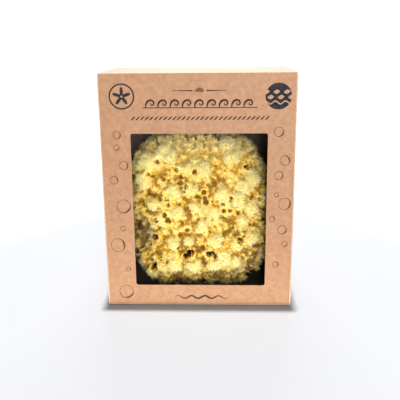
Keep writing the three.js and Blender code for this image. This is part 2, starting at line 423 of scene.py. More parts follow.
# Left badge: a starfish in a ring, drawn as a waist with five arms that swell and taper. Right badge: a
# round of sea with three swells left bare. Both are in black.
STAR_PLACE, STAR_RING, STAR_LINE = (-38.7, 116.4), 6.6, 0.75
STAR_HEART, STAR_WAIST, STAR_ARM = 0.55, 1.5, 3.3
SEA_PLACE, SEA_RADIUS = (41.3, 116.2), 6.7
SWELL_HEIGHT, SWELL_LENGTH = 0.7, 5.2
SWELLS = [(-9.0, -3.6), (-2.8, -0.9), (-0.1, 1.8), (2.6, 9.0)]  # lower and upper edge of each dark band
ring_turn = np.linspace(0, 2 * np.pi, 97)
star_turn = np.linspace(0, 2 * np.pi, 201)
star_edge = STAR_WAIST + STAR_ARM * ((1 + np.sin(5 * star_turn)) / 2) ** 1.5
badge_bands = [
    ring_band(STAR_PLACE, ring_turn, STAR_RING - STAR_LINE, STAR_RING),
    ring_band(STAR_PLACE, star_turn, STAR_HEART, star_edge),
]
across = np.linspace(-0.99, 0.99, 120) * SEA_RADIUS
rim = np.sqrt(SEA_RADIUS ** 2 - across ** 2)
for low, high in SWELLS:
    wave = SWELL_HEIGHT * np.sin(2 * np.pi * across / SWELL_LENGTH + low)
    edges = np.clip(np.stack([low + wave, high + wave]), -rim, rim)
    seen = edges[1] - edges[0] > 0.05
    badge_bands.append(np.stack([across + 0 * edges, edges], axis=-1)[:, seen] + SEA_PLACE)
print_piece("front_badges", badge_bands, black_ink)

# Running waves over a ground line: each is one pen stroke that sweeps up and curls in on itself, and
# thins towards its end. They and the ornaments below are in dark brown.
SCROLL_LEFT, SCROLL_RIGHT, SCROLL_FOOT, SCROLL_COUNT = -26.9, 29.7, 110.6, 9
SCROLL_ASIDE, SCROLL_ABOVE = 0.55, 2.15  # a curl's middle: share of a step, and height over the ground
LINE_STEPS = 60
scroll_step = (SCROLL_RIGHT - SCROLL_LEFT) / SCROLL_COUNT
share = np.linspace(0, 1, LINE_STEPS)
curl_turn = np.radians(215 - 470 * share)
curl_size = 0.3 + 1.6 * (1 - share) + 1.7 * (1 - share) ** 8  # the eye, the round and the swept tail
pen = 0.12 + 0.5 * (1 - share) * np.minimum(1, 6 * share + 0.3)  # swells at once, then thins to a tip
ground_x = np.linspace(SCROLL_LEFT - 1, SCROLL_RIGHT + 1, LINE_STEPS)
head_bands = [stroke(ground_x, np.full(LINE_STEPS, SCROLL_FOOT), 0.22)]
for first in SCROLL_LEFT + scroll_step * np.arange(SCROLL_COUNT):
    wave_x = first + SCROLL_ASIDE * scroll_step + curl_size * np.cos(curl_turn)
    wave_z = SCROLL_FOOT + SCROLL_ABOVE + curl_size * np.sin(curl_turn)
    head_bands.append(stroke(wave_x, wave_z, pen))

# A twisted rope under the waves, a small scallop between two tapered lines above them, and a ripple at
# the panel's foot.
ROPE_LEFT, ROPE_RIGHT, ROPE_LEVEL, ROPE_COUNT = -33.2, 35.8, 105.2, 30
ROPE_RISE, ROPE_HALF = 0.85, 1.3
SHELL_PLACE, RIB_ROOT, RIB_END = (1.2, 118.2), 0.5, 2.5
RIPPLE_PLACE, RIPPLE_HALF, RIPPLE_HEIGHT, RIPPLE_LENGTH = (1.4, 5.4), 15.0, 0.8, 7.5
sweep = np.linspace(-1, 1, 15)
strand_z = ROPE_LEVEL + ROPE_RISE * np.sin(np.pi * sweep / 2)
for middle in np.linspace(ROPE_LEFT, ROPE_RIGHT, ROPE_COUNT):
    head_bands.append(stroke(middle + ROPE_HALF * sweep, strand_z, 0.05 + 0.3 * (1 - sweep ** 2)))
rib = np.linspace(RIB_ROOT, RIB_END, 12)
for lean in np.radians(np.linspace(25, 155, 7)):
    rib_x, rib_z = SHELL_PLACE[0] + rib * np.cos(lean), SHELL_PLACE[1] + rib * np.sin(lean)
    head_bands.append(stroke(rib_x, rib_z, 0.06 + 0.13 * (rib - RIB_ROOT)))
trail = np.linspace(3.6, 14.0, 30)
trail_z = np.full(len(trail), SHELL_PLACE[1] + 1)
for side in (-1, 1):
    head_bands.append(stroke(SHELL_PLACE[0] + side * trail, trail_z, np.linspace(0.32, 0.1, len(trail))))
ripple = np.linspace(-RIPPLE_HALF, RIPPLE_HALF, 120)
ripple_z = RIPPLE_PLACE[1] + RIPPLE_HEIGHT * np.sin(2 * np.pi * ripple / RIPPLE_LENGTH)
ripple_width = 0.08 + 0.4 * (1 - (ripple / RIPPLE_HALF) ** 2)
head_bands.append(stroke(RIPPLE_PLACE[0] + ripple, ripple_z, ripple_width))
print_piece("front_ornaments", head_bands, dark_brown_ink)

# Bubbles: place across, height and radius of each. A thin brown outline swells to a crescent on its right
# side, turned a little from one bubble to the next.
BUBBLES = [
    (-42, 96.5, 2.1), (-42.5, 90, 1.6), (-39, 80.5, 2.4), (-44.5, 72.5, 2.2), (-40, 58, 3.8),
    (-41, 45.5, 1.5), (-44, 36, 3.9), (-39, 22, 1.4), (-40.5, 8.5, 4),
    (42, 98, 2.6), (45.5, 83, 2.7), (42.5, 75, 2.4), (41.5, 64.5, 1.3), (46, 59.5, 3.3),
    (39.5, 51, 1.6), (45, 45, 2.5), (46.5, 37, 1.7), (42, 25, 1.7),
]
OUTLINE, CRESCENT = 0.26, 0.2  # width of the thin line, and the crescent's share of the radius
bubble_turn = np.linspace(0, 2 * np.pi, 65)
bubble_bands = []
for number, (bubble_x, bubble_z, size) in enumerate(BUBBLES):
    shade = np.radians(-20 - 45 * np.sin(1.7 * number))
    crescent = CRESCENT * size * np.maximum(0, np.cos(bubble_turn - shade)) ** 3
    bubble_bands.append(ring_band((bubble_x, bubble_z), bubble_turn, size - OUTLINE - crescent, size))
print_piece("front_bubbles", bubble_bands, brown_ink)

# Sea sponge: one dried, bleached wool sponge. Its skeleton of springy fibre grows in tufted clumps with
# hollows between them, round pores through its skin, and a few deep oscules. It rests loose on the
# carton's floor.
SPONGE_HALF = np.array([40.8, 29.0, 47.6])
SPONGE_MIDDLE = np.array([0.0, -0.4, 48.1])
SPONGE_POWER, SPONGE_ROUNDER, SPONGE_SWELL = 3.1, 0.5, 0.008
SWELL_WAVES = np.array([(3.1, 0.0, 2.3, 0.4), (0.0, -3.2, 4.4, 1.9), (5.3, 4.1, -2.6, 3.0)])
FRONT_STEP, TOP_STEP, FLANK_STEP, BACK_STEP = 0.4, 0.8, 1.2, 2.2  # distance between mesh lines
FINE_HALF, FINE_FRONT, FINE_TOP = 38.5, -14.0, 30.0  # bounds of the front's and the top's finer steps
CURVE_POINTS = 4001
sponge_low = node_box("sponge")[0]


def even_steps(curve, step_at):
    """Shares along a finely drawn curve so that neighbours lie about a wanted step apart, where the step is
    given at each of the curve's points."""
    length = np.linalg.norm(np.diff(curve, axis=0), axis=1)
    count = np.append(0, np.cumsum(length / ((step_at[1:] + step_at[:-1]) / 2)))
    wanted = np.linspace(0, count[-1], int(count[-1]) + 1)
    return np.interp(wanted, count, np.linspace(0, 1, len(curve)))


def bent_power(value, power):
    """A number raised to a power with its sign kept."""
    return np.sign(value) * np.abs(value) ** power


def rounded_outline(turn, half_width, half_height):
    """A rounded box seen flat: the cosine and the sine of the turn, each to two over the sponge's power."""
    return np.stack([-half_width * bent_power(np.cos(turn), 2 / SPONGE_POWER),
                     half_height * bent_power(np.sin(turn), 2 / SPONGE_POWER)], axis=-1)


keel = rounded_outline(np.linspace(0, np.pi, CURVE_POINTS), SPONGE_HALF[0], SPONGE_HALF[1])
keel_step = np.where(np.abs(keel[:, 0]) < FINE_HALF, FRONT_STEP, FLANK_STEP)
slice_turn = np.pi * even_steps(keel, keel_step)[1:-1]
slice_x = rounded_outline(slice_turn, SPONGE_HALF[0], SPONGE_HALF[1])[:, 0]
girth = rounded_outline(np.linspace(0, 2 * np.pi, 2 * CURVE_POINTS - 1), SPONGE_HALF[1], -SPONGE_HALF[2])
girth_step = np.where(girth[:, 1] > FINE_TOP, TOP_STEP, BACK_STEP)
girth_step = np.where(girth[:, 0] < FINE_FRONT, FRONT_STEP, girth_step)
girth_place = even_steps(girth, girth_step)[:-1] * (len(girth) - 1)
girth_y, girth_z = [np.interp(girth_place, np.arange(len(girth)), side) for side in girth.T]
heading = np.stack([girth_y, girth_z], axis=-1) / np.hypot(girth_y, girth_z)[:, None]


def sponge_slice(power):
    """Radius of each slice across the sponge towards each heading round it: the sum of x, y and z, each
    over its half size and raised to the power, is one."""
    left = 1 - np.abs(slice_x[:, None] / SPONGE_HALF[0]) ** power
    aside = np.abs(heading[:, 0] / SPONGE_HALF[1]) ** power
    upward = np.abs(heading[:, 1] / SPONGE_HALF[2]) ** power
    return (left / (aside + upward)) ** (1 / power)


def sponge_points(radius):
    """Points of all slices at a radius, about the sponge's middle."""
    places = np.broadcast_arrays(slice_x[:, None], radius * heading[:, 0], radius * heading[:, 1])
    return np.stack(places, axis=-1)


# The skin is that rounded box, rounder at its upper right and swelled by three slanting waves.
first_guess = sponge_points(sponge_slice(np.full((1, len(heading)), SPONGE_POWER)))
direction = first_guess / np.linalg.norm(first_guess, axis=-1, keepdims=True)
power = SPONGE_POWER - SPONGE_ROUNDER * direction[..., 0] * np.maximum(direction[..., 2], 0)
swell = sum(np.sin(direction @ wave[:3] + wave[3]) for wave in SWELL_WAVES)
skin = sponge_points(sponge_slice(power) * (1 + SPONGE_SWELL * swell))
outward = bent_power(skin / SPONGE_HALF, power[..., None] - 1) / SPONGE_HALF
outward /= np.linalg.norm(outward, axis=-1, keepdims=True)
skin = skin + SPONGE_MIDDLE

LATTICE_ODD = [np.uint32(odd) for odd in (374761393, 668265263, 2246822519)]
SALT_ODD = 3266489917
DOME_REACH, DOME_SPREAD, DOME_FLOOR = 0.55, 0.3, -2


def lattice_number(cell, salt):
    """A number from 0 to 1 for each cell of a lattice: its whole coordinates are multiplied by large odd
    numbers, added, and their bits mixed."""
    whole = cell.astype(np.int64).astype(np.uint32)
    mixed = sum(whole[..., k] * LATTICE_ODD[k] for k in range(3)) + np.uint32(salt * SALT_ODD % 2 ** 32)
    mixed = (mixed ^ (mixed >> np.uint32(15))) * LATTICE_ODD[2]
    mixed = (mixed ^ (mixed >> np.uint32(13))) * np.uint32(SALT_ODD)
    return (mixed ^ (mixed >> np.uint32(16))) / 2 ** 32


def soft_noise(place, size, salt):
    """Smooth noise from -1 to 1 over cells of a size: the lattice numbers at a cell's eight corners, eased
    across the cell."""
    cell = np.floor(place / size)
    ease = place / size - cell
    ease = ease * ease * (3 - 2 * ease)
    total = 0
    for corner in np.ndindex(2, 2, 2):
        weight = np.prod(np.where(corner, ease, 1 - ease), axis=-1)
        total = total + weight * lattice_number(cell + np.array(corner), salt)
    return 2 * total - 1


def soft_domes(place, salt, melt):
    """Height of a crowd of domes about scattered centres, one in each lattice cell: a dome is 1 high at its
    centre and falls with the square of the distance to 0 at its own reach. Where domes meet they melt
    together, the less the higher the melt number is."""
    cell = np.floor(place)
    total = np.ones(place.shape[:-1])
    for step in np.ndindex(3, 3, 3):
        other = cell + np.array(step) - 1
        centre = other + np.stack([lattice_number(other, salt + k) for k in range(3)], axis=-1)
        dome_reach = DOME_REACH + DOME_SPREAD * lattice_number(other, salt + 3)
        height = 1 - np.sum((place - centre) ** 2, axis=-1) / dome_reach ** 2
        total = total + np.exp(melt * np.maximum(height, DOME_FLOOR)) - np.exp(DOME_FLOOR * melt)
    return np.log(total) / melt


def warped(place, size, amount, salt):
    """Places moved about by soft noise, so that round cells become ragged."""
    return place + amount * np.stack([soft_noise(place, size, salt + k) for k in range(3)], axis=-1)


# Wide hollows and receding corners seen from the front: place across, height, radius and depth. A
# negative depth is a swelling. The foot is also undercut from the middle to the right.
HOLLOWS = [
    (-37, 39, 15, 8), (-39, 9, 10, 6), (37, 13, 22, 6), (-3, 92, 15, 1),
    (14, 74, 9, 2), (-2, 40, 8, 1.5),
    (33, 94, 9, 4), (-33, 80, 13, -3), (34, 60, 14, -2),
]
HOLLOW_FLOOR = 0.2  # share of a hollow's radius that is as deep as its middle
FACING = (0.1, 0.5)  # how far the skin turns forward where the front begins
UNDERCUT, UNDERCUT_LEVELS, UNDERCUT_ASIDE = 3.5, (9.0, 22.0), (-24.0, -8.0)
facing = ease_between(*FACING, -outward[..., 1])
recess = np.zeros_like(facing)
for hollow_x, hollow_z, radius, drop in HOLLOWS:
    away = np.hypot(skin[..., 0] - hollow_x, skin[..., 2] - hollow_z) / radius
    recess = recess + drop * facing * (1 - ease_between(HOLLOW_FLOOR, 1.0, away))
undercut = 1 - ease_between(*UNDERCUT_LEVELS, skin[..., 2])
undercut = undercut * ease_between(*UNDERCUT_ASIDE, skin[..., 0])
recess = recess + UNDERCUT * facing * undercut
skin = skin - outward * recess[..., None]

# Broad lobes on the front, where the sponge has grown fullest: place across, height and radius. Small
# clumps fill the room between them and cover the other sides, and tufts cover it all.
LOBES = [
    (-28, 81.5, 6), (-19.5, 86.5, 5), (-31, 70.5, 5.5), (-14.5, 84, 4), (-7.5, 77.5, 4),
    (3, 77.5, 4.5), (15.5, 90, 5), (18.5, 83, 4.5), (30, 72, 6), (24.5, 67, 5.5),
    (12.5, 63, 4.5), (-14, 66, 5), (-2, 56.5, 4.5), (-24.5, 57.5, 5), (7, 53, 5),
    (21.5, 59.5, 5), (1.5, 45, 4.5), (-11.5, 53.5, 4.5), (9.5, 37, 4.5), (-5.5, 36, 3.5),
    (-15.5, 36, 4.5), (20.5, 34.5, 4), (14, 27.5, 5), (8.5, 22.5, 5), (-3, 21.5, 5),
    (-13.5, 23, 5.5), (-21.5, 20.5, 4.5), (20.5, 23, 4.5), (-28, 15, 4), (29, 54.5, 4.5),
    (24.5, 48, 3.5), (29.5, 37.5, 4), (-4, 66.5, 4.5), (-20, 48.5, 4.5),
]
CLUMP, CLUMP_DEPTH = 4.8, 4.2
CLUMP_SIDE, LOBE_SIDE = (0.12, 0.8), (0.0, 0.85)  # heights between which a clump's side rises
BETWEEN_LOBES = 0.62  # height of the small clumps among the lobes
TUFT, TUFT_DEPTH = 2.0, 1.4
RAGGED_DEPTH = 0.5
grown = warped(skin, size=4.0, amount=1.2, salt=11)
grown = warped(grown, size=1.3, amount=0.55, salt=15)
clump = soft_domes(grown / CLUMP, salt=21, melt=12)
small_crown = (np.clip(clump, 0, 1) + ease_between(*CLUMP_SIDE, clump)) / 2
lobe = np.max([1 - ((grown[..., 0] - lobe_x) ** 2 + (grown[..., 2] - lobe_z) ** 2) / radius ** 2
               for lobe_x, lobe_z, radius in LOBES], axis=0)
front_crown = np.maximum(ease_between(*LOBE_SIDE, lobe), BETWEEN_LOBES * small_crown)
crown = small_crown + facing * (front_crown - small_crown)
tuft_place = warped(skin, size=1.4, amount=0.5, salt=31) / TUFT
tuft = np.clip(soft_domes(tuft_place, salt=41, melt=10), 0, 1)
ragged = (soft_noise(skin, size=1.3, salt=61) + soft_noise(skin, size=0.9, salt=62)) / 2
uneven_ground = 1 + 0.35 * soft_noise(skin, size=9.0, salt=71)  # some hollows are deeper than others

# Oscules, the wide torn mouths that run deep: place across, height, half width, half height and depth.
OSCULES = [
    (-5, 28.8, 1.9, 2, 14), (-7.2, 26.7, 1.9, 1.4, 12), (7, 28.4, 2.6, 1.6, 14),
    (9.8, 27.4, 1, 2, 12), (-26.5, 19, 2.5, 2.3, 12), (-25.9, 37.5, 2.6, 1.5, 10),
    (23.4, 36.1, 1.9, 1.6, 12), (27.5, 77.7, 1.8, 1.4, 10), (18, 24, 1.3, 1, 8),
    (35, 59.5, 1, 1.2, 8),
]
# Pores on the front, round and shallower: place across, height and radius.
PORES = [
    (-10, 70, 1.4), (-6.5, 68, 1.2), (-7.5, 65, 0.8), (3, 64.5, 1.4), (4, 59, 1.6),
    (-17.5, 60.5, 1.3), (-17, 57, 1.1), (-22.5, 55.5, 1.1), (-19, 51.5, 1.4), (-24, 48, 1.6),
    (-17.5, 48, 1.4), (-6.5, 42.5, 1.4), (-10.5, 39.5, 1.4), (7.5, 49.5, 1.1), (14, 54, 1.1),
    (17.5, 54, 1.1), (22.5, 52, 1.1), (13.5, 58, 1.3), (18, 61, 1.1), (-1, 52.5, 1.1),
    (-28.5, 74.5, 1.1), (-23, 81.5, 1.3), (-12, 77, 1.1), (-2, 76, 1.3), (-19.5, 71.5, 1.1),
]
PORE_DEPTH, PIT_DEPTH = 4.5, 3.0
# Painted shade: the tone to which each kind of mouth is darkened inside, near black for an oscule.
OSCULE_TONE, PORE_TONE, FLANK_PORE_TONE, PIT_TONE = 1.0, 0.78, 0.74, 0.82
MOUTH_WALL, MOUTH_SHADE, MOUTH_CLEAR = (0.85, 1.08), (1.0, 1.22), (1.1, 1.5)  # shares of a mouth's radius
RIM_WIDTH, RIM_UNEVEN, RIM_FADE = 1.6, 0.6, (0.6, 1.6)  # of firm skin round a mouth
RIM_CROWN, RIM_TUFT, RIM_SHADE = 0.35, 0.4, 0.3  # how far it fills the clumps, the tufts and their shade
CALM, CALM_SINK = 0.65, (0.8, 4.0)  # the relief is calmer where the skin is sunk this far
wobble = 1 + 0.12 * soft_noise(skin, size=1.5, salt=51)
torn = 1 + 0.32 * soft_noise(skin, size=2.4, salt=52) + 0.08 * soft_noise(skin, size=1.1, salt=53)
mouths = [(*oscule, torn, OSCULE_TONE) for oscule in OSCULES]
mouths += [(*pore, pore[2], PORE_DEPTH, wobble, PORE_TONE) for pore in PORES]


def mouth_distance(mouth):
    """Distance from a mouth's middle as seen from the front, as a share of its half sizes: 1 is its rim."""
    return np.hypot((skin[..., 0] - mouth[0]) / mouth[2], (skin[..., 2] - mouth[1]) / mouth[3])


def sunk(depth, drop, inside):
    """Depths taken down to a drop at least where inside is 1, and left as they are where it is 0."""
    return depth * (1 - inside) + np.maximum(depth, drop) * inside


rim_gap = np.min([(mouth_distance(mouth) - 1) * (mouth[2] + mouth[3]) / 2 for mouth in mouths], axis=0)
firm = RIM_WIDTH * (1 + RIM_UNEVEN * soft_noise(skin, size=3.0, salt=81))
rim_lift = facing * (1 - ease_between(*RIM_FADE, rim_gap / firm))
crown = 1 - (1 - crown) * (1 - RIM_CROWN * rim_lift)
depth = CLUMP_DEPTH * uneven_ground * (1 - crown) + TUFT_DEPTH * (1 - tuft) * (1 - RIM_TUFT * rim_lift)
depth = (depth + RAGGED_DEPTH * ragged) * (1 - CALM * ease_between(*CALM_SINK, recess))

# Tone of the fibre, from 0 on the crowns to 1 deep in a mouth: painted shade that darkens the hollows, the
# flanks that face away and the mouths. The front's upper part is painted paler as painted light, to make up
# for the shade there. The flanks, the sunk hollows and the very top are tinted greyer as painted shade.
CLUMP_SHADE, TUFT_SHADE, RAGGED_SHADE, RECESS_SHADE = 0.76, 0.42, 0.14, 0.01
SHADE_RANGE, HOLLOW_TONE, FLANK_TONE, CROWN_TONE = (0.14, 0.95), 0.68, 0.12, 0.05
TOP_LIGHTENING, TOP_LIGHT_LEVELS = 0.34, (68.0, 90.0)
DULL_RECESS, DULL_TOP, DULL_FLANK, DULL_MOST = 0.07, 0.5, 0.4, 0.7
DULL_LEVELS = (82.0, 96.0)
shadow = CLUMP_SHADE * uneven_ground * (1 - crown) + TUFT_SHADE * (1 - tuft) * (1 - RIM_SHADE * rim_lift)
shadow = shadow + RAGGED_SHADE * ragged + RECESS_SHADE * recess
hollow = HOLLOW_TONE * ease_between(*SHADE_RANGE, shadow) + FLANK_TONE * (1 - facing)
# Painted light: the front's upper part is painted paler, to make up for the shade that falls on it.
painted_top_light = facing * ease_between(*TOP_LIGHT_LEVELS, skin[..., 2])
crown_tone = CROWN_TONE * (1 - painted_top_light)
hollow = crown_tone + (1 - crown_tone) * (1 - TOP_LIGHTENING * painted_top_light) * hollow
# Painted shade: the flanks, the sunk hollows and the very top are tinted greyer.
dull = DULL_RECESS * recess + DULL_TOP * ease_between(*DULL_LEVELS, skin[..., 2])
dull = np.clip(dull + DULL_FLANK * (1 - facing), 0, DULL_MOST)
mouth_gap = np.ones_like(hollow)
# Each mouth is sunk, and its inside darkened to its tone as painted shade.
for mouth in mouths:
    drop, edge, tone = mouth[4:]
    away = mouth_distance(mouth) * edge
    depth = sunk(depth, drop, facing * (1 - ease_between(*MOUTH_WALL, away)))
    hollow = np.maximum(hollow, tone * facing * (1 - ease_between(*MOUTH_SHADE, away)))
    mouth_gap = mouth_gap * (1 - facing * (1 - ease_between(*MOUTH_CLEAR, away)))

# Smaller mouths at random: pores on the sides that face away from the front, and pits in its hollows, each
# darkened inside as painted shade.
SCATTERED_PORES, SCATTERED_PITS = 320, 130
SCATTER_SIZES, SCATTER_WALL = (0.7, 1.5), (0.75, 1.1)
chance = np.random.default_rng(7)
row_step, column_step = [np.linalg.norm(np.gradient(skin, axis=k), axis=-1) for k in (0, 1)]
cell_area = row_step * column_step
edge_on = (cell_area * (1 - facing)).ravel()
head_on = (cell_area * facing * hollow ** 2).ravel()
scatter = [
    (SCATTERED_PORES, edge_on, PORE_DEPTH, FLANK_PORE_TONE),
    (SCATTERED_PITS, head_on, PIT_DEPTH, PIT_TONE),
]
for count, odds, drop, tone in scatter:
    for spot in chance.choice(odds.size, count, replace=False, p=odds / odds.sum()):
        away = np.linalg.norm(skin - skin.reshape(-1, 3)[spot], axis=-1) * wobble
        away = away / chance.uniform(*SCATTER_SIZES)
        inside = 1 - ease_between(*SCATTER_WALL, away)
        depth = sunk(depth, drop, inside)
        hollow = np.maximum(hollow, tone * inside)
body = skin - outward * depth[..., None]
body[..., 2] = np.maximum(body[..., 2], sponge_low[2])
poles = np.array([[-SPONGE_HALF[0], 0, 0], [SPONGE_HALF[0], 0, 0]]) + SPONGE_MIDDLE
poles[:, 0] += (CLUMP_DEPTH, -CLUMP_DEPTH)

# Bleached sponge fibre: spongin dried to a pale lemon, with golden brown and near black laid into its
# hollows and mouths as painted shade. It gives the eye a matt, soft surface with no gloss and a faint bloom
# at the edges.
SPECKLE, STAIN = 1.2, 16.0  # the speckle is drawn coarser than the real fibres' crossings
UNEVEN_TONE = 0.3  # range of tone that each of them gives
sponge_fibre, tree, shader, place = new_material("lemon_sponge_fibre")
tone_value = add_node(tree, "Attribute", output="Fac", attribute_name="hollow")
for grain, detail in ((SPECKLE, 4.0), (STAIN, 2.0)):
    pattern = add_node(tree, "TexNoise", {"Vector": place, "Scale": 1 / (grain * MM), "Detail": detail})
    shift = add_node(tree, "Math", {0: pattern, 1: UNEVEN_TONE, 2: -UNEVEN_TONE / 2},
                     operation="MULTIPLY_ADD")
    tone_value = add_node(tree, "Math", {0: tone_value, 1: shift}, operation="ADD")
# Painted shade: the tone runs from pale lemon on the crowns to golden brown in hollows and near black in
# mouths.
fibre_tone = add_node(tree, "ValToRGB", {0: tone_value}, [
    (0.0, "#ffec9c"), (0.22, "#f8d976"), (0.5, "#d3aa43"), (0.75, "#7e5b24"), (1.0, "#17100a"),
])
# Painted shade: the fibre's colour is tinted greyer where the sponge lies in shade.
dust = add_node(tree, "Attribute", output="Fac", attribute_name="dull")
shade_greyed_tone = add_node(tree, "Mix", {0: dust, 6: fibre_tone, 7: colour("#c9b27c")},
                      output=2, data_type="RGBA", blend_type="COLOR")
feed(tree, shader, {
    "Base Color": shade_greyed_tone, "Roughness": 0.95, "Specular IOR Level": 0.1, "Subsurface Weight": 0.5,
    "Subsurface Radius": (1.0, 0.8, 0.35), "Subsurface Scale": 0.7 * MM,
})

# The body's mesh: a ring of points for each slice, and a fan to a pole at either end.
POLE_TONE = [0.5, 0.5]
rows, columns = depth.shape
ring_faces = grid_faces(rows, columns, ring=True)
loop = np.arange(columns)
near_fan = np.stack([np.full(columns, rows * columns), np.roll(loop, -1), loop], axis=-1)
far_fan = np.stack([np.full(columns, rows * columns + 1), loop, np.roll(loop, -1)], axis=-1)
far_fan[:, 1:] += (rows - 1) * columns


def sponge_piece(name, points, faces, hollow, dull):
    """A piece of the sponge, with its painted shade tone and its painted grey tint at each point."""
    piece = make_piece(name, points, faces, [sponge_fibre], hollow=hollow, dull=dull)
    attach(piece, "carton")
    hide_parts("sponge")


sponge_piece("sponge_body", np.vstack([body.reshape(-1, 3), poles]),
             ring_faces.tolist() + near_fan.tolist() + far_fan.tolist(),
             np.append(hollow.ravel(), POLE_TONE), np.append(dull.ravel(), POLE_TONE))

# Loose fibre ends: each clump is fringed with stiff tapered bundles of fibre, most of them on its steep
# edge and longest where it is palest. They are drawn thicker than single fibres, as the tufts in which
# they stick together.
SPIKE_COUNT, SPIKE_WIDTH, SPIKE_LENGTH = 18000, 0.2, 2.1
SPIKE_ROOT = 0.25  # how far its base lies under the surface
SPIKE_SIZES = (0.6, 1.4)
ALONG_SKIN, ALONG_RELIEF, RANDOM_LEAN = 0.35, 0.8, 0.4
SPIKE_SHORTER, SHADE_LIMIT = 0.6, 0.7  # shorter by this share where the tone reaches its limit
TIP_PALER = 0.12
LEVEL_WEIGHT, STEEPEST = 0.25, 2  # odds on level ground, and the steepest ground that counts
FRINGE_FULL, FRINGE_FADE = 1.1, 2.0
row_course, column_course = np.gradient(body, axis=(0, 1))
surface = np.cross(column_course, row_course)  # out of the body, and as long as a cell is large


def sponge_spikes(name, count, odds):
    """Closed three-sided spikes at chosen mesh points: the base is a small triangle under the surface, and
    the tip stands out along a mix of the skin's and the surface's own direction and a random lean."""
    spots = chance.choice(odds.size, count, p=odds / odds.sum())
    slide = chance.uniform(-0.5, 0.5, (count, 2))
    grids = (body, row_course, column_course, surface, outward)
    root, row, column, relief, away = [grid.reshape(-1, 3)[spots] for grid in grids]
    root = root + (slide[:, :1] * row + slide[:, 1:] * column)
    relief /= np.linalg.norm(relief, axis=-1, keepdims=True) + 1e-9
    aim = ALONG_SKIN * away + ALONG_RELIEF * relief + RANDOM_LEAN * chance.normal(size=(count, 3))
    aim /= np.linalg.norm(aim, axis=-1, keepdims=True)
    side = np.cross(aim, chance.normal(size=(count, 3)))
    side /= np.linalg.norm(side, axis=-1, keepdims=True)
    other = np.cross(aim, side)
    shade = hollow.ravel()[spots]
    size = chance.uniform(*SPIKE_SIZES, (count, 1))
    length = SPIKE_LENGTH * size * (1 - SPIKE_SHORTER * np.clip(shade[:, None] / SHADE_LIMIT, 0, 1))
    corners = [np.cos(turn) * side + np.sin(turn) * other for turn in np.radians([0, 120, 240])]
    base = [root - SPIKE_ROOT * aim + SPIKE_WIDTH * size * corner for corner in corners]
    points = np.stack([*base, root + length * aim], axis=1)
    points[..., 2] = np.maximum(points[..., 2], sponge_low[2])
    pattern = np.array([[0, 1, 3], [1, 2, 3], [2, 0, 3], [2, 1, 0]])
    faces = (4 * np.arange(count)[:, None, None] + pattern).reshape(-1, 3)
    tone = np.stack([shade, shade, shade, shade - TIP_PALER], axis=1)
    sponge_piece(name, points, faces, tone, dull.ravel()[spots][:, None])


steepness = np.clip(np.linalg.norm(surface, axis=-1) / cell_area - 1, 0, STEEPEST)
fringe = cell_area * (LEVEL_WEIGHT + steepness) * mouth_gap
fringe = (fringe * np.clip(FRINGE_FULL - FRINGE_FADE * hollow, 0, 1)).ravel()
sponge_spikes("sponge_fringe_front", SPIKE_COUNT, fringe * facing.ravel())
sponge_spikes("sponge_fringe_rest", SPIKE_COUNT, fringe * (1 - facing.ravel()))

# Dust flaps: two side flaps of the same board, folded in under the lid. Each hinges on a side wall's top
# crease, has rounded ends, and is cut back along its rear edge, clear of the lid's crease.
DUST_CORNER = 4.0
DUST_SLANT = 0.6  # how far the rear edge is cut back for each millimetre inwards
FOLD_STEPS = 7
for side, node in ((-1, "left_dust_flap"), (1, "right_dust_flap")):
    dust_low, dust_high = node_box(node)
    dust_length = dust_high[0] - dust_low[0]
    bend = np.linspace(0, np.pi / 2, FOLD_STEPS)
    run = np.append(np.linspace(CREASE, dust_length - DUST_CORNER, 22)[1:],
                    dust_length - DUST_CORNER * (1 - np.sin(np.linspace(0, np.pi / 2, 9)[1:])))
    path_in = np.append(CREASE * (1 - np.cos(bend)), run)
    path_up = np.append(dust_high[2] - CREASE * (1 - np.sin(bend)), np.full(len(run), dust_high[2]))
    past = np.maximum(path_in - (dust_length - DUST_CORNER), 0)
    trim = DUST_CORNER - np.sqrt(DUST_CORNER ** 2 - past ** 2)
    front_edge = dust_low[1] + trim
    back_edge = dust_high[1] - DUST_SLANT * path_in - trim
    across = np.linspace(0, 1, 25)[::side]
    flap_y = front_edge[:, None] + across * (back_edge - front_edge)[:, None]
    flap = board_sheet(node.replace("_flap", "_board"), side * (HALF_WIDTH - path_in)[:, None], flap_y,
                       path_up[:, None], fold=np.append(np.sin(2 * bend), 0 * run)[:, None])
    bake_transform(flap)
    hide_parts(node)

# Lid: the top panel, one sheet of board with the back wall, folded forward over the dust flaps on the back
# crease. It bows up a little, and its front edge carries the tuck flap.
LID_BOW = 0.2
lid_low, lid_high = node_box("lid_panel")
bend = np.linspace(0, np.pi / 2, FOLD_STEPS)
lid_run = np.linspace(BACK - CREASE, lid_low[1] + CREASE, 30)[1:]
lid_y = np.append(BACK - CREASE + CREASE * np.cos(bend), lid_run)
lid_z = np.append(lid_high[2] - CREASE + CREASE * np.sin(bend), np.full(len(lid_run), lid_high[2]))
lid_x = np.linspace(HALF_WIDTH, -HALF_WIDTH, 41)
lid_span = np.clip((lid_y - lid_run[-1]) / (BACK - CREASE - lid_run[-1]), 0, 1)
lid_rise = LID_BOW * np.sin(np.pi * lid_span)[:, None] * np.cos(np.pi * lid_x / (2 * HALF_WIDTH))
lid = board_sheet("lid_board", lid_x, lid_y[:, None], lid_z[:, None] + lid_rise,
                  fold=np.append(np.sin(2 * bend), 0 * lid_run)[:, None])
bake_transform(lid)
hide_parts("lid_panel")

